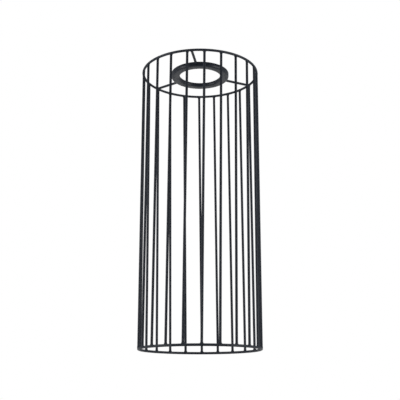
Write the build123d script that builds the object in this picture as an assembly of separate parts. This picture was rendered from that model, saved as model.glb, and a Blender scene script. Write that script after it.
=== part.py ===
import os
from math import cos, degrees, radians, sin

from build123d import *

# A straight wire cage lampshade: two equal rings joined by upright wires, and a pressed plate for
# the lampholder, held in the upper ring by three spokes. It stands on its lower ring.
# Sizes are in millimetres and degrees. Angles are counted from the front, -Y, towards +X.

# Cage
cage_outer_diameter = 120.0
cage_height = 285.0
ring_wire_diameter = 2.5

# Upright wires, as they were welded: the lower ring sits turned against the upper one, and the
# jig held both rings a little to one side, so the wires stand closer together on that side
upright_count = 22
upright_wire_diameter = 2.5
upper_end_angle = 2.6
cage_twist = 2.8
jig_offset = 1.7

# Spokes, of the same wire as the uprights. As welded, one is a few degrees off an even third
spoke_wire_diameter = 2.5
spoke_angles = (-8.0, 117.0, 232.0)

# Lampholder plate, pressed from sheet, with its outer and inner edges turned up
holder_hole_diameter = 42.5
plate_outer_diameter = 59.5
plate_sheet = 1.0
plate_bend_radius = 0.6
outer_rim_height = 4.6
inner_rim_height = 3.7

# Welds: each wire's end swells where it was pressed on while hot, and grips its ring
weld_swell = 0.2
weld_swell_length = 1.2
weld_grip = 0.7

ring_wire_radius = ring_wire_diameter / 2
ring_radius = cage_outer_diameter / 2 - ring_wire_radius
lower_ring_level = ring_wire_radius
upper_ring_level = cage_height - ring_wire_radius
plate_radius = plate_outer_diameter / 2
plate_level = cage_height - outer_rim_height


def on_circle(radius, angle, level):
    turn = radians(angle)
    return Vector(radius * sin(turn), -radius * cos(turn), level)


def wire_ring(level):
    return Pos(0, 0, level) * Torus(ring_radius, ring_wire_radius)


# A straight wire with a swelling at each end, along the line from one point to another.
# It starts and ends the given distances inside those points.
def welded_wire(start, end, diameter, start_gap, end_gap):
    length = (end - start).length
    radius = diameter / 2
    swollen = radius + weld_swell
    low, high = start_gap, length - end_gap
    neck_low, neck_high = low + weld_swell_length, high - weld_swell_length
    outline = (
        Line((radius, neck_low), (radius, neck_high))
        + TangentArc((radius, neck_high), (swollen, high), tangent=(0, 1))
        + Polyline((swollen, high), (0, high), (0, low), (swollen, low))
        + TangentArc((radius, neck_low), (swollen, low), tangent=(0, -1))
    )
    half_section = Plane.XZ * make_face(outline)
    return Plane(origin=start, z_dir=end - start) * revolve(half_section, Axis.Z)


# The angle at which an upright meets a ring, with the shift that the jig's offset gives
def upright_angle(index, first_angle):
    even_angle = first_angle + index * 360 / upright_count
    return even_angle + degrees(jig_offset / ring_radius) * cos(radians(even_angle))


def upright(index, lower_ring, upper_ring):
    lower_angle = upright_angle(index, upper_end_angle - cage_twist)
    upper_angle = upright_angle(index, upper_end_angle)
    gap = ring_wire_radius - weld_grip
    wire = welded_wire(
        on_circle(ring_radius, lower_angle, lower_ring_level),
        on_circle(ring_radius, upper_angle, upper_ring_level),
        upright_wire_diameter,
        gap,
        gap,
    )
    return wire - lower_ring - upper_ring


# A spoke lies level with the upper ring. Its inner end is hollowed to the plate's round edge, and
# its outer end to the ring and to any upright that is welded at the same place.
def spoke(angle, upper_ring, uprights):
    wire = welded_wire(
        on_circle(plate_radius - weld_swell, angle, upper_ring_level),
        on_circle(ring_radius, angle, upper_ring_level),
        spoke_wire_diameter,
        0,
        ring_wire_radius - weld_grip,
    )
    plate_edge = Pos(0, 0, plate_level) * Cylinder(plate_radius, 4 * outer_rim_height)
    return wire - plate_edge - upper_ring - uprights


# The plate's section is a shallow channel that opens upwards, turned about the cage's middle
def lampholder_plate():
    hole_radius = holder_hole_diameter / 2
    outer_bend = plate_bend_radius + plate_sheet
    section = FilletPolyline(
        (hole_radius, 0),
        (plate_radius, 0),
        (plate_radius, outer_rim_height),
        (plate_radius - plate_sheet, outer_rim_height),
        (plate_radius - plate_sheet, plate_sheet),
        (hole_radius + plate_sheet, plate_sheet),
        (hole_radius + plate_sheet, inner_rim_height),
        (hole_radius, inner_rim_height),
        radius=(outer_bend, outer_bend, 0, 0, plate_bend_radius, plate_bend_radius, 0, 0),
        close=True,
    )
    return Pos(0, 0, plate_level) * revolve(Plane.XZ * make_face(section), Axis.Z)


def lampshade():
    lower_ring = wire_ring(lower_ring_level)
    upper_ring = wire_ring(upper_ring_level)
    uprights = [upright(index, lower_ring, upper_ring) for index in range(upright_count)]
    pieces = {
        "bottom_ring": lower_ring,
        "top_ring": upper_ring,
        "lampholder_plate": lampholder_plate(),
    }
    for number, angle in enumerate(spoke_angles, 1):
        pieces[f"spoke_{number}"] = spoke(angle, upper_ring, uprights)
    for number, wire in enumerate(uprights, 1):
        pieces[f"upright_{number:02d}"] = wire
    return pieces


os.makedirs("parts", exist_ok=True)
for name, piece in lampshade().items():
    export_step(piece, f"parts/{name}.step")
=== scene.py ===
from math import atan2, cos, pi, radians, sin

import bpy
from mathutils import Matrix, Vector


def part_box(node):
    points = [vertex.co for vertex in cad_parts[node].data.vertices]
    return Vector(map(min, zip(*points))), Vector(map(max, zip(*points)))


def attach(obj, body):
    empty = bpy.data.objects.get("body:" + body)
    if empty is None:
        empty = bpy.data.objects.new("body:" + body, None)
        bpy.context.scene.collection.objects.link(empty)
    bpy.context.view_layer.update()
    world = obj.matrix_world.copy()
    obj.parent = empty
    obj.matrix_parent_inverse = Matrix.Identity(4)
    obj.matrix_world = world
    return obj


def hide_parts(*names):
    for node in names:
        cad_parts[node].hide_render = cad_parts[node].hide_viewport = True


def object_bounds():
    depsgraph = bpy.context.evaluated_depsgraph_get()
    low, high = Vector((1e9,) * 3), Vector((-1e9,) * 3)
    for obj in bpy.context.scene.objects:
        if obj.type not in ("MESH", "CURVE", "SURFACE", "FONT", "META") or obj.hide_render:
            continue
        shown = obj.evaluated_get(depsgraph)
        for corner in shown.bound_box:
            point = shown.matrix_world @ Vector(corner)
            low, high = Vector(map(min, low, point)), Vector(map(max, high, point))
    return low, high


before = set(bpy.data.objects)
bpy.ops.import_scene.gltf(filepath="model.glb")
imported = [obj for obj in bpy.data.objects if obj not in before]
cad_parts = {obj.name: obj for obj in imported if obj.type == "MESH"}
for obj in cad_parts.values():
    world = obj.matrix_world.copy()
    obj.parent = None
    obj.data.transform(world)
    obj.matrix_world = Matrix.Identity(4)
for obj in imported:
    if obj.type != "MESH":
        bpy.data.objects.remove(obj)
cadLow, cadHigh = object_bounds()
scene = bpy.context.scene
scene.view_settings.view_transform = "Standard"
print("frame: loaded,", len(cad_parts), "nodes")


# Camera: a little below the lower ring, looking up, as a hanging shade is seen

cameraView = {
    "lens": 68.96,
    "sensorWidth": 36,
    "place": (0, -0.7413, -0.04943),
    "lookUp": 13.777,  # degrees above level
    "lensRise": 0.04,  # share of the frame, which keeps the sides a little closer to parallel
    "clipStart": 0.01,
}

cameraData = bpy.data.cameras.new("camera")
cameraData.lens = cameraView["lens"]
cameraData.sensor_width = cameraView["sensorWidth"]
cameraData.shift_y = cameraView["lensRise"]
cameraData.clip_start = cameraView["clipStart"]
cameraObject = bpy.data.objects.new("camera", cameraData)
cameraObject.location = cameraView["place"]
cameraObject.rotation_euler = (radians(90 + cameraView["lookUp"]), 0, 0)
scene.collection.objects.link(cameraObject)
scene.camera = cameraObject
print("camera: made")


# Small helpers

seamReach = 0.000002  # points this close, in metres, are one point


def deselectAll():
    bpy.ops.object.select_all(action="DESELECT")


def onlySelect(thing):
    deselectAll()
    thing.select_set(True)
    bpy.context.view_layer.objects.active = thing


def editMode(on):
    bpy.ops.object.mode_set(mode="EDIT" if on else "OBJECT")


def pickEdges(thing, test):  # in edit mode: selects edges by the places of their two ends
    bpy.ops.mesh.select_mode(type="EDGE")
    bpy.ops.mesh.select_all(action="DESELECT")
    editMode(False)
    points = thing.data.vertices
    for edge in thing.data.edges:
        first, second = edge.vertices
        edge.select = test(points[first].co, points[second].co)
    editMode(True)


def closeSkin():  # in edit mode: joins the seam and turns every face outwards
    bpy.ops.mesh.select_all(action="SELECT")
    bpy.ops.mesh.remove_doubles(threshold=seamReach)
    bpy.ops.mesh.normals_make_consistent(inside=False)


def applyModifier(thing, modifier):
    onlySelect(thing)
    bpy.ops.object.modifier_apply(modifier=modifier.name)


def placeIntoMesh(thing):
    onlySelect(thing)
    bpy.ops.object.transform_apply(location=True, rotation=True, scale=True)


def smoothShade(thing, angle):
    onlySelect(thing)
    bpy.ops.object.shade_smooth_by_angle(angle=radians(angle))


def finishPiece(piece, node, material):
    piece.data.materials.clear()
    piece.data.materials.append(material)
    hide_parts(node)
    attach(piece, "root")


def nodePoints(node):
    return [vertex.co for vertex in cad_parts[node].data.vertices]


def boxMiddle(points):
    return Vector([(min(axis) + max(axis)) / 2 for axis in zip(*points)])


# Node helpers: each adds one step to a shader's nodes and gives back what comes out of it.
# A number is set on the socket, and anything else is linked to it.

def feed(tree, socket, value):
    if isinstance(value, (int, float)):
        socket.default_value = value
    else:
        tree.links.new(value, socket)


def addMath(tree, operation, first, second=None, clamp=False):
    node = tree.nodes.new("ShaderNodeMath")
    node.operation, node.use_clamp = operation, clamp
    feed(tree, node.inputs[0], first)
    if second is not None:
        feed(tree, node.inputs[1], second)
    return node.outputs[0]


def addNoise(tree, vector, scale, detail, roughness):
    node = tree.nodes.new("ShaderNodeTexNoise")
    node.inputs["Scale"].default_value = scale
    node.inputs["Detail"].default_value = detail
    node.inputs["Roughness"].default_value = roughness
    tree.links.new(vector, node.inputs["Vector"])
    return node.outputs["Fac"]


def addRange(tree, value, fromLow, fromHigh, toLow=0.0, toHigh=1.0, smooth=True):
    node = tree.nodes.new("ShaderNodeMapRange")
    node.interpolation_type = "SMOOTHSTEP" if smooth else "LINEAR"
    tree.links.new(value, node.inputs["Value"])
    feed(tree, node.inputs["From Min"], fromLow)
    feed(tree, node.inputs["From Max"], fromHigh)
    feed(tree, node.inputs["To Min"], toLow)
    feed(tree, node.inputs["To Max"], toHigh)
    return node.outputs["Result"]


def addColorMix(tree, factor, first, second):
    node = tree.nodes.new("ShaderNodeMix")
    node.data_type = "RGBA"
    tree.links.new(factor, node.inputs[0])
    tree.links.new(first, node.inputs[6])
    tree.links.new(second, node.inputs[7])
    return node.outputs[2]


def addShaderMix(tree, factor, first, second):
    node = tree.nodes.new("ShaderNodeMixShader")
    tree.links.new(factor, node.inputs[0])
    tree.links.new(first, node.inputs[1])
    tree.links.new(second, node.inputs[2])
    return node.outputs[0]


def addAxis(tree, vector, axis):
    split = tree.nodes.new("ShaderNodeSeparateXYZ")
    tree.links.new(vector, split.inputs[0])
    return split.outputs[axis]


def addFromMiddle(tree, place):  # distance from the cage's upright middle line
    flat = tree.nodes.new("ShaderNodeVectorMath")
    flat.operation = "MULTIPLY"
    flat.inputs[1].default_value = (1, 1, 0)
    tree.links.new(place, flat.inputs[0])
    length = tree.nodes.new("ShaderNodeVectorMath")
    length.operation = "LENGTH"
    tree.links.new(flat.outputs[0], length.inputs[0])
    return length.outputs["Value"]


def addSeen(tree, mirrored):  # 1 for what the camera sees itself, and mirrored for reflections
    paths = tree.nodes.new("ShaderNodeLightPath")
    glossy, through = paths.outputs["Is Glossy Ray"], paths.outputs["Is Transmission Ray"]
    seen = addMath(tree, "MULTIPLY", addMath(tree, "MAXIMUM", glossy, through), mirrored)
    return addMath(tree, "MAXIMUM", seen, paths.outputs["Is Camera Ray"])


def newGroup(name, inputs, outputs):
    group = bpy.data.node_groups.new(name, "ShaderNodeTree")
    for socketName, kind, value in inputs:
        socket = group.interface.new_socket(socketName, in_out="INPUT", socket_type=kind)
        if value is not None:
            socket.default_value = value
    for socketName, kind in outputs:
        group.interface.new_socket(socketName, in_out="OUTPUT", socket_type=kind)
    return group, group.nodes.new("NodeGroupInput"), group.nodes.new("NodeGroupOutput")


# Powder coat: fine orange peel, a tone that drifts a little, and rougher lumps over the welds,
# which also carry a painted highlight

coatFinish = {
    "tone": (0.0055, 0.0088, 0.0155, 1),
    "driftAndWeldHighlightTone": (0.009, 0.0135, 0.0225, 1),  # lighter, bluer tone that the random drift moves towards; on the welds it is a painted highlight
    "roughness": (0.5, 0.62),
    "specular": 0.3,
    "bumpDistance": 0.00002,
    "bumpStrength": 0.55,
    "driftRange": (0.35, 0.68),  # where each noise starts to show, and where it shows in full
    "cloudRange": (0.3, 0.72),
    "lumpRange": (0.42, 0.7),
    "driftShare": 0.6,  # how far each noise moves the tone towards the lighter one; on the welds that is a painted highlight
    "cloudShare": 0.25,
    # painted highlight: how far the weld lumps are lightened
    "weldHighlightShare": 0.6,
    "weldRoughness": 0.12,  # added on the welds
    "gritHeight": 0.22,  # against the peel's height
    "lumpHeight": 1.6,
    "weldCore": 0.45,  # part of a weld's reach where its lumps show in full
}

coatNoise = {  # scales are per metre
    "drift": {"scale": 70, "detail": 3, "roughness": 0.5},
    "cloud": {"scale": 420, "detail": 2, "roughness": 0.5},
    "lumps": {"scale": 1150, "detail": 3, "roughness": 0.6},
    "peel": {"scale": 1500, "detail": 2, "roughness": 0.45},
    "grit": {"scale": 5200, "detail": 1, "roughness": 0.5},
}


def makeCoatGroup():
    group, given, result = newGroup(
        "powderCoat",
        [
            ("Place", "NodeSocketVector", None),
            ("Tone", "NodeSocketColor", coatFinish["tone"]),
            # the lighter tone: the random drift, and the painted highlight on the welds
            ("Drift And Weld Highlight Tone", "NodeSocketColor", coatFinish["driftAndWeldHighlightTone"]),
            ("Weld", "NodeSocketFloat", 0.0),
            ("Peel Scale", "NodeSocketFloat", coatNoise["peel"]["scale"]),
            ("Roughness Low", "NodeSocketFloat", coatFinish["roughness"][0]),
            ("Roughness High", "NodeSocketFloat", coatFinish["roughness"][1]),
        ],
        [
            ("Color", "NodeSocketColor"),
            ("Roughness", "NodeSocketFloat"),
            ("Height", "NodeSocketFloat"),
        ],
    )
    place, weld = given.outputs["Place"], given.outputs["Weld"]
    drift, cloud, lumps, peel, grit = [
        addNoise(group, place, **values) for values in coatNoise.values()
    ]
    feed(group, peel.node.inputs["Scale"], given.outputs["Peel Scale"])
    drift = addRange(group, drift, *coatFinish["driftRange"])
    cloud = addRange(group, cloud, *coatFinish["cloudRange"])

    def share(value, amount):
        return addMath(group, "MULTIPLY", value, amount)

    # tone: slow drift, a trace of the finer cloud, and a painted highlight: lighter on the weld
    # lumps
    weldLumpsAndHighlight = share(weld, addRange(group, lumps, *coatFinish["lumpRange"]))
    blend = addMath(
        group, "ADD", share(drift, coatFinish["driftShare"]), share(cloud, coatFinish["cloudShare"])
    )
    blend = addMath(group, "ADD", blend, share(weldLumpsAndHighlight, coatFinish["weldHighlightShare"]), clamp=True)
    color = addColorMix(group, blend, given.outputs["Tone"], given.outputs["Drift And Weld Highlight Tone"])
    group.links.new(color, result.inputs["Color"])

    low, high = given.outputs["Roughness Low"], given.outputs["Roughness High"]
    rough = addRange(group, cloud, 0.0, 1.0, low, high, smooth=False)
    rough = addMath(group, "ADD", rough, share(weldLumpsAndHighlight, coatFinish["weldRoughness"]), clamp=True)
    group.links.new(rough, result.inputs["Roughness"])

    height = addMath(group, "ADD", peel, share(grit, coatFinish["gritHeight"]))
    height = addMath(group, "ADD", height, share(weld, share(lumps, coatFinish["lumpHeight"])))
    group.links.new(height, result.inputs["Height"])
    return group


# How near a point is to either of two weld levels along a wire: 1 on the weld, 0 past its reach
def makeWeldGroup():
    group, given, result = newGroup(
        "weldZone",
        [
            ("Along", "NodeSocketFloat", 0.0),
            ("First Weld", "NodeSocketFloat", 0.0),
            ("Second Weld", "NodeSocketFloat", 1.0),
            ("Reach", "NodeSocketFloat", 0.003),
        ],
        [("Weld", "NodeSocketFloat")],
    )

    def awayFrom(weld):
        away = addMath(group, "SUBTRACT", given.outputs["Along"], given.outputs[weld])
        return addMath(group, "ABSOLUTE", away)

    nearest = addMath(group, "MINIMUM", awayFrom("First Weld"), awayFrom("Second Weld"))
    share = addMath(group, "DIVIDE", nearest, given.outputs["Reach"])
    zone = addRange(group, share, 1.0, coatFinish["weldCore"])
    group.links.new(zone, result.inputs["Weld"])
    return group


coatGroup = makeCoatGroup()
weldGroup = makeWeldGroup()


# weldLevels: what they are measured along, then the first, the second and their reach, in metres
def makeCoatMaterial(name, weldLevels=None, roughness=coatFinish["roughness"]):
    material = bpy.data.materials.new(name)
    material.use_nodes = True
    material.diffuse_color = coatFinish["tone"]
    tree = material.node_tree
    shader = tree.nodes["Principled BSDF"]
    shader.inputs["Metallic"].default_value = 0
    shader.inputs["Specular IOR Level"].default_value = coatFinish["specular"]
    place = tree.nodes.new("ShaderNodeTexCoord").outputs["Object"]
    coat = tree.nodes.new("ShaderNodeGroup")
    coat.node_tree = coatGroup
    tree.links.new(place, coat.inputs["Place"])
    coat.inputs["Tone"].default_value = coatFinish["tone"]
    # the lighter tone, also the painted highlight on the welds
    coat.inputs["Drift And Weld Highlight Tone"].default_value = coatFinish["driftAndWeldHighlightTone"]
    coat.inputs["Peel Scale"].default_value = coatNoise["peel"]["scale"]
    coat.inputs["Roughness Low"].default_value = roughness[0]
    coat.inputs["Roughness High"].default_value = roughness[1]
    if weldLevels:
        along, first, second, reach = weldLevels
        zone = tree.nodes.new("ShaderNodeGroup")
        zone.node_tree = weldGroup
        distance = addAxis(tree, place, "Z") if along == "height" else addFromMiddle(tree, place)
        tree.links.new(distance, zone.inputs["Along"])
        zone.inputs["First Weld"].default_value = first
        zone.inputs["Second Weld"].default_value = second
        zone.inputs["Reach"].default_value = reach
        tree.links.new(zone.outputs["Weld"], coat.inputs["Weld"])
    bump = tree.nodes.new("ShaderNodeBump")
    bump.inputs["Strength"].default_value = coatFinish["bumpStrength"]
    bump.inputs["Distance"].default_value = coatFinish["bumpDistance"]
    tree.links.new(coat.outputs["Height"], bump.inputs["Height"])
    tree.links.new(coat.outputs["Color"], shader.inputs["Base Color"])
    tree.links.new(coat.outputs["Roughness"], shader.inputs["Roughness"])
    tree.links.new(bump.outputs["Normal"], shader.inputs["Normal"])
    return material


print("materials: shared effects made")


# Welds: small uneven lumps, pushed out of the mesh where a wire was pressed on hot

weldBead = {
    "lumpSize": 0.0011,
    "lumpDetail": 2,
    "lumpHeight": 0.00012,
    "fadeShare": 0.6,  # part of a weld's reach over which the lumps fade out
    "smoothAngle": 60,
}

lumpTexture = bpy.data.textures.new("weldLumps", "CLOUDS")
lumpTexture.noise_scale = weldBead["lumpSize"]
lumpTexture.noise_depth = weldBead["lumpDetail"]


def pushOut(piece, group, height, texture=None):
    push = piece.modifiers.new("push", "DISPLACE")
    push.vertex_group = group
    push.strength = height
    if texture:
        push.texture = texture
        push.texture_coords = "GLOBAL"
    else:
        push.mid_level = 0
    applyModifier(piece, push)


# Rings: round wire, rolled into a hoop and butt welded. The joint is dressed flush all round
# except on the inner side, where a low bead stays.

hoop = {
    "sides": 24,
    "segments": 288,
    "jointAngle": {"top_ring": 158, "bottom_ring": 205},  # degrees from the front, towards +X
    "jointHalfLength": 0.0024,
    "jointMargin": 0.001,  # closer cuts start this far before the joint
    "jointCuts": 5,
    "jointSwell": 0.0002,
    "flushShare": 0.25,  # of the wire's radius: the bead is left further in than this
}


def hoopSizes(node):
    low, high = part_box(node)
    wireRadius = (high.z - low.z) / 2
    return (high.x - low.x) / 2 - wireRadius, wireRadius, (high.z + low.z) / 2


def angleFromFront(point):
    return atan2(point.x, -point.y)


def makeHoop(name, node, material):
    ringRadius, wireRadius, level = hoopSizes(node)
    deselectAll()
    bpy.ops.mesh.primitive_circle_add(
        vertices=hoop["sides"], radius=wireRadius,
        location=(0, -ringRadius, level), rotation=(0, radians(90), 0),
    )
    ring = bpy.context.object
    ring.name = name
    placeIntoMesh(ring)
    editMode(True)
    bpy.ops.mesh.select_all(action="SELECT")
    bpy.ops.mesh.spin(
        steps=hoop["segments"], angle=2 * pi, center=(0, 0, level), axis=(0, 0, 1)
    )
    closeSkin()

    # the butt joint: closer cuts along the wire, then the bead with its uneven finish
    jointTurn = radians(hoop["jointAngle"][node])
    jointPoint = Vector((ringRadius * sin(jointTurn), -ringRadius * cos(jointTurn), level))
    reach = hoop["jointHalfLength"] + wireRadius + hoop["jointMargin"]

    def alongJoint(first, second):
        if max((first - jointPoint).length, (second - jointPoint).length) >= reach:
            return False
        turn = abs(angleFromFront(first) - angleFromFront(second))
        return min(turn, 2 * pi - turn) > pi / hoop["segments"]

    pickEdges(ring, alongJoint)
    bpy.ops.mesh.subdivide(number_cuts=hoop["jointCuts"])
    editMode(False)
    group = ring.vertex_groups.new(name="joint")
    for vertex in ring.data.vertices:
        away = abs(ringRadius * (angleFromFront(vertex.co) % (2 * pi) - jointTurn))
        inward = (ringRadius - vertex.co.xy.length) / wireRadius - hoop["flushShare"]
        if away < hoop["jointHalfLength"] and inward > 0:
            share = inward * (1 + cos(pi * away / hoop["jointHalfLength"])) / 2
            group.add([vertex.index], share, "REPLACE")
    pushOut(ring, "joint", hoop["jointSwell"])
    pushOut(ring, "joint", weldBead["lumpHeight"], lumpTexture)
    ring.vertex_groups.clear()
    smoothShade(ring, weldBead["smoothAngle"])
    finishPiece(ring, node, material)


ringCoat = makeCoatMaterial("ringCoat")
makeHoop("topRing", "top_ring", ringCoat)
makeHoop("bottomRing", "bottom_ring", ringCoat)
print("rings: made")


# Wires: modelled standing on the origin, each loop drawn up from the one below.
# Every loop is (height, radius, stretch along the ring), in millimetres.

def drawWire(name, loops, sides):
    deselectAll()
    height, radius, stretch = loops[0]
    bpy.ops.mesh.primitive_circle_add(
        vertices=sides, radius=radius / 1000, fill_type="NGON", location=(0, 0, height / 1000)
    )
    wire = bpy.context.object
    wire.name = name
    wire.scale = (stretch, 1, 1)
    placeIntoMesh(wire)
    editMode(True)
    bpy.ops.mesh.select_all(action="SELECT")
    for (oldHeight, oldRadius, oldStretch), (height, radius, stretch) in zip(loops, loops[1:]):
        bpy.ops.mesh.extrude_region_move(
            TRANSFORM_OT_translate={"value": (0, 0, (height - oldHeight) / 1000)}
        )
        grow = radius / oldRadius
        bpy.ops.transform.resize(value=(grow * stretch / oldStretch, grow, 1))
    closeSkin()
    editMode(False)
    return wire


def weldLoops(profile, radius, atEnd=None):
    lowEnd = [(height, radius * grow, stretch) for height, grow, stretch in profile]
    if atEnd is None:
        return lowEnd
    return [(atEnd - height, wide, stretch) for height, wide, stretch in reversed(lowEnd)]


def weightWelds(wire, length, reach):  # where the lumps show, strongest at the joint itself
    group = wire.vertex_groups.new(name="weld")
    for vertex in wire.data.vertices:
        away = min(vertex.co.z * 1000, length - vertex.co.z * 1000)
        share = min(1, max(0, (reach - away) / (weldBead["fadeShare"] * reach)))
        if share > 0:
            group.add([vertex.index], share, "REPLACE")


def copyWire(template, name, foot, head, across):
    piece = template.copy()
    piece.data = template.data.copy()
    piece.name = name
    scene.collection.objects.link(piece)
    along = (head - foot).normalized()
    side = (across - along * across.dot(along)).normalized()
    turn = Matrix((side, along.cross(side), along)).transposed().to_4x4()
    piece.matrix_world = Matrix.Translation(foot) @ turn
    placeIntoMesh(piece)
    pushOut(piece, "weld", weldBead["lumpHeight"], lumpTexture)
    piece.vertex_groups.clear()
    smoothShade(piece, weldBead["smoothAngle"])
    return piece


# Uprights: butted between the rings and pressed on while hot, which squeezes out a small collar

uprightWire = {
    "sides": 24,
    "collar": [  # height from the ring's centre, times the wire's radius, stretch along the ring
        (0.0, 0.90, 1.0),
        (0.3, 1.01, 1.05),
        (0.6, 1.07, 1.15),
        (0.9, 1.10, 1.27),
        (1.2, 1.10, 1.34),
        (1.45, 1.09, 1.27),
        (1.7, 1.07, 1.17),
        (2.0, 1.045, 1.08),
        (2.4, 1.015, 1.02),
        (3.0, 1.0, 1.0),
    ],
    "lumpReach": 2.4,  # millimetres from the ring's centre
    "coatReach": 0.0034,  # from here on in metres: where the coat looks as it does along the wire
    "endZone": 0.02,  # the CAD wire's end loops are looked for this far from its ring
    "ringGap": 0.0001,
    "loopHeight": 0.0002,
}

topRadius, _, topLevel = hoopSizes("top_ring")
_, ringWireRadius, bottomLevel = hoopSizes("bottom_ring")
uprightNodes = sorted(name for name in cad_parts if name.startswith("upright"))


def uprightLoops(node):  # the CAD wire's points near its two ends, clear of the rings
    near, far = ringWireRadius + uprightWire["ringGap"], uprightWire["endZone"]
    points = nodePoints(node)
    low = [p for p in points if bottomLevel + near < p.z < bottomLevel + far]
    high = [p for p in points if topLevel - far < p.z < topLevel - near]
    return low, high


def uprightEnds(node):  # where the wire's middle line meets the two rings' levels
    low, high = [boxMiddle(points) for points in uprightLoops(node)]
    slope = (high - low) / (high.z - low.z)
    return low + slope * (bottomLevel - low.z), low + slope * (topLevel - low.z)


def uprightRadius(node):
    neck = uprightLoops(node)[0]
    highest = max(p.z for p in neck)
    loop = [p for p in neck if p.z > highest - uprightWire["loopHeight"]]
    return (max(p.y for p in loop) - min(p.y for p in loop)) / 2


uprightCoat = makeCoatMaterial(
    "uprightCoat", ("height", bottomLevel, topLevel, uprightWire["coatReach"])
)
radius = uprightRadius(uprightNodes[0]) * 1000
foot, head = uprightEnds(uprightNodes[0])
length = (head - foot).length * 1000
uprightTemplate = drawWire(
    "uprightTemplate",
    weldLoops(uprightWire["collar"], radius) + weldLoops(uprightWire["collar"], radius, length),
    uprightWire["sides"],
)
weightWelds(uprightTemplate, length, uprightWire["lumpReach"])

for node in uprightNodes:
    foot, head = uprightEnds(node)
    middle = (foot + head) / 2
    alongRing = Vector((-middle.y, middle.x, 0))
    piece = copyWire(uprightTemplate, "upright" + node[-2:], foot, head, alongRing)
    finishPiece(piece, node, uprightCoat)
bpy.data.objects.remove(uprightTemplate)
print("uprights: made,", len(uprightNodes), "of radius", round(radius, 3), "mm")


# Lampholder plate: pressed from sheet, flat underneath, with both edges turned up

holderPlate = {
    "segments": 192,
    "sheet": 0.001,
    "innerRimHeight": 0.0037,
    "holeRadius": 0.02125,
    "outerBend": {"width": 0.0016, "steps": 7},
    "innerBend": {"width": 0.0006, "steps": 4},
    "lip": {"width": 0.00024, "steps": 2},
    "loopReach": 0.00002,
    "roughness": (0.3, 0.4),  # flat sheet takes the coat a little smoother than wire does
    "smoothAngle": 35,
}


def makePlate(name, node, material):
    low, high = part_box(node)
    edge, base, top = (high.x - low.x) / 2, low.z, high.z
    sheet, hole = holderPlate["sheet"], holderPlate["holeRadius"]
    innerTop = base + holderPlate["innerRimHeight"]
    underside = [(hole, base), (edge, base)]  # each corner is (radius, level)
    outerEdge = [(edge, top), (edge - sheet, top)]
    channel = [(edge - sheet, base + sheet), (hole + sheet, base + sheet)]
    innerEdge = [(hole + sheet, innerTop), (hole, innerTop)]
    corners = underside + outerEdge + channel + innerEdge

    deselectAll()
    bpy.ops.mesh.primitive_circle_add(
        vertices=holderPlate["segments"], radius=hole, location=(0, 0, base)
    )
    plate = bpy.context.object
    plate.name = name
    placeIntoMesh(plate)
    editMode(True)
    bpy.ops.mesh.select_mode(type="EDGE")
    bpy.ops.mesh.select_all(action="SELECT")
    for (oldRadius, oldLevel), (radius, level) in zip(corners, corners[1:] + corners[:1]):
        bpy.ops.mesh.extrude_edges_move(
            TRANSFORM_OT_translate={"value": (0, 0, level - oldLevel)}
        )
        grow = radius / oldRadius
        bpy.ops.transform.resize(value=(grow, grow, 1))
    closeSkin()

    def at(point, corner):
        away = max(abs(point.xy.length - corner[0]), abs(point.z - corner[1]))
        return away < holderPlate["loopReach"]

    def roundOff(chosen, bend):
        pickEdges(plate, lambda first, second: any(
            at(first, corner) and at(second, corner) for corner in chosen
        ))
        bpy.ops.mesh.bevel(
            offset=bend["width"], segments=bend["steps"], profile=0.5, affect="EDGES"
        )

    roundOff(underside, holderPlate["outerBend"])
    roundOff(channel, holderPlate["innerBend"])
    roundOff(outerEdge + innerEdge, holderPlate["lip"])
    closeSkin()
    editMode(False)
    smoothShade(plate, holderPlate["smoothAngle"])
    finishPiece(plate, node, material)


plateCoat = makeCoatMaterial("plateCoat", roughness=holderPlate["roughness"])
makePlate("holderPlate", "lampholder_plate", plateCoat)
print("lampholder plate: made")


# Spokes: level with the top ring, welded to it and to the plate's outer rim

spokeWire = {
    "sides": 24,
    "plateEnd": [  # distance from the plate's wall, times the wire's radius, stretch round it
        (-0.5, 0.95, 1.25),
        (-0.1, 1.08, 1.40),
        (0.1, 1.10, 1.42),
        (0.35, 1.09, 1.34),
        (0.65, 1.07, 1.22),
        (1.0, 1.045, 1.11),
        (1.4, 1.015, 1.04),
        (1.9, 1.0, 1.0),
    ],
    "ringEnd": [  # distance from the ring's centre
        (0.3, 0.92, 1.05),
        (0.8, 1.06, 1.20),
        (1.1, 1.10, 1.32),
        (1.4, 1.09, 1.32),
        (1.65, 1.07, 1.22),
        (1.95, 1.04, 1.11),
        (2.3, 1.015, 1.04),
        (2.8, 1.0, 1.0),
    ],
    "lumpReach": 2.2,  # millimetres from either end
    "coatReach": 0.0026,  # from here on in metres
    "endZone": 0.006,  # the CAD wire's end loops are looked for this far from its welds
    "plateGap": 0.0004,
    "ringGap": 0.0003,
    "neckGap": 0.0008,
}

plateLow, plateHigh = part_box("lampholder_plate")
plateEdge = (plateHigh.x - plateLow.x) / 2
ringEdge = topRadius - ringWireRadius
spokeNodes = sorted(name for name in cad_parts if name.startswith("spoke"))


def spokePoints(node, inner, outer):
    return [point for point in nodePoints(node) if inner < point.xy.length < outer]


def spokeLine(node):  # the direction and level of the wire's middle line, from its two end loops
    zone = spokeWire["endZone"]
    near = boxMiddle(spokePoints(node, plateEdge + spokeWire["plateGap"], plateEdge + zone))
    far = boxMiddle(spokePoints(node, topRadius - zone, ringEdge - spokeWire["ringGap"]))
    return (far.xy - near.xy).normalized(), (near.z + far.z) / 2


def spokeRadius(node):
    gap = spokeWire["neckGap"]
    levels = [point.z for point in spokePoints(node, plateEdge + gap, ringEdge - gap)]
    return (max(levels) - min(levels)) / 2


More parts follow.
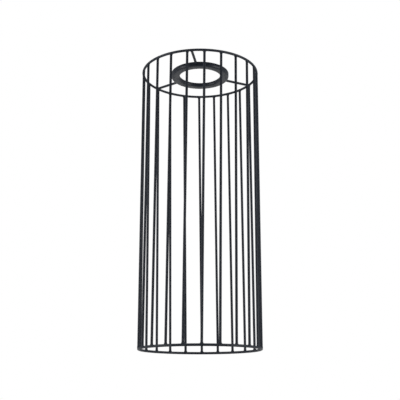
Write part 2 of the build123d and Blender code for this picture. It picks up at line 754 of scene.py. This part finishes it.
spokeCoat = makeCoatMaterial("spokeCoat", ("radius", plateEdge, ringEdge, spokeWire["coatReach"]))
radius = spokeRadius(spokeNodes[0]) * 1000
length = (topRadius - plateEdge) * 1000
spokeTemplate = drawWire(
    "spokeTemplate",
    weldLoops(spokeWire["plateEnd"], radius) + weldLoops(spokeWire["ringEnd"], radius, length),
    spokeWire["sides"],
)
weightWelds(spokeTemplate, length, spokeWire["lumpReach"])

for node in spokeNodes:
    outward, level = spokeLine(node)
    foot = Vector((outward.x * plateEdge, outward.y * plateEdge, level))
    head = Vector((outward.x * topRadius, outward.y * topRadius, level))
    roundPlate = Vector((-outward.y, outward.x, 0))
    piece = copyWire(spokeTemplate, "spoke" + node[-1], foot, head, roundPlate)
    finishPiece(piece, node, spokeCoat)
bpy.data.objects.remove(spokeTemplate)
print("spokes: made,", len(spokeNodes), "of radius", round(radius, 3), "mm")


# Stage: a plain pale floor well below the hanging shade, fading to white far out

studio = {
    "floorLevel": -0.6,
    "floorRadius": 6.0,
    "floorSides": 96,
    "floorTone": (0.8, 0.8, 0.8, 1),
    "floorRoughness": 0.9,
    "nearWhite": 0.4,  # share of white near the shade, where the rest is lit and keeps its shadow
    "fadeFrom": 0.6,
    "fadeTo": 2.4,
    "frontDimTo": -0.4,  # mirrored, the floor is white behind the shade and dim in front of it
    "backWhiteFrom": 0.6,
}


def makeFloor():
    deselectAll()
    bpy.ops.mesh.primitive_circle_add(
        vertices=studio["floorSides"], radius=studio["floorRadius"], fill_type="NGON",
        location=(0, 0, studio["floorLevel"]),
    )
    floor = bpy.context.object
    floor.name = "floor"
    placeIntoMesh(floor)
    material = bpy.data.materials.new("paleFloor")
    material.use_nodes = True
    tree = material.node_tree
    shader = tree.nodes["Principled BSDF"]
    shader.inputs["Base Color"].default_value = studio["floorTone"]
    shader.inputs["Roughness"].default_value = studio["floorRoughness"]
    white = tree.nodes.new("ShaderNodeEmission")
    white.inputs["Color"].default_value = (1, 1, 1, 1)
    white.inputs["Strength"].default_value = 1
    place = tree.nodes.new("ShaderNodeTexCoord").outputs["Object"]
    away = addFromMiddle(tree, place)
    fade = addRange(tree, away, studio["fadeFrom"], studio["fadeTo"], studio["nearWhite"])
    behind = addRange(
        tree, addAxis(tree, place, "Y"), studio["frontDimTo"], studio["backWhiteFrom"]
    )
    whiteness = addMath(tree, "MULTIPLY", fade, addSeen(tree, behind))
    surface = addShaderMix(tree, whiteness, shader.outputs[0], white.outputs[0])
    tree.links.new(surface, tree.nodes["Material Output"].inputs["Surface"])
    floor.data.materials.append(material)


makeFloor()


# Light: two tall soft boxes close in on the left and right, a little in front, a broad one
# overhead for the floor and the rings' upper sides, and a dim room with a white backdrop

lamps = {
    "softLeft": {"place": (-0.5, -0.2, 0.15), "size": (0.3, 0.6), "power": 2.5},
    "softRight": {"place": (0.5, -0.2, 0.15), "size": (0.3, 0.6), "power": 2.5},
    "softTop": {"place": (0, 0.1, 1.5), "size": (1.0, 1.0), "power": 12},
}

room = {
    "fill": 0.25,
    "dim": 0.1,  # mirrored, the backdrop is white behind and below the shade, and dim elsewhere
    "frontDimTo": -0.2,  # these four are parts of a direction one long, along Y and then Z
    "backWhiteFrom": 0.5,
    "aboveDimFrom": 0.12,
    "belowWhiteTo": -0.02,
}


def makeLamp(name, values):
    data = bpy.data.lights.new(name, "AREA")
    data.shape = "RECTANGLE"
    data.size, data.size_y = values["size"]
    data.energy = values["power"]
    lamp = bpy.data.objects.new(name, data)
    lamp.location = values["place"]
    target = (cadLow + cadHigh) / 2
    lamp.rotation_euler = (target - lamp.location).to_track_quat("-Z", "Y").to_euler()
    lamp.visible_camera = False
    scene.collection.objects.link(lamp)


def addBackground(tree, strength):
    node = tree.nodes.new("ShaderNodeBackground")
    node.inputs["Color"].default_value = (1, 1, 1, 1)
    node.inputs["Strength"].default_value = strength
    return node.outputs[0]


def makeRoom():
    world = bpy.data.worlds.new("studio")
    scene.world = world
    world.use_nodes = True
    tree = world.node_tree
    tree.nodes.clear()
    direction = tree.nodes.new("ShaderNodeTexCoord").outputs["Generated"]
    behind = addRange(
        tree, addAxis(tree, direction, "Y"),
        room["frontDimTo"], room["backWhiteFrom"], room["dim"], 1.0,
    )
    below = addRange(
        tree, addAxis(tree, direction, "Z"),
        room["aboveDimFrom"], room["belowWhiteTo"], room["dim"], 1.0,
    )
    seen = addSeen(tree, addMath(tree, "MULTIPLY", behind, below))
    fill, backdrop = addBackground(tree, room["fill"]), addBackground(tree, 1)
    output = tree.nodes.new("ShaderNodeOutputWorld")
    tree.links.new(addShaderMix(tree, seen, fill, backdrop), output.inputs["Surface"])


for name, values in lamps.items():
    makeLamp(name, values)
makeRoom()
print("stage and light: made")

deselectAll()
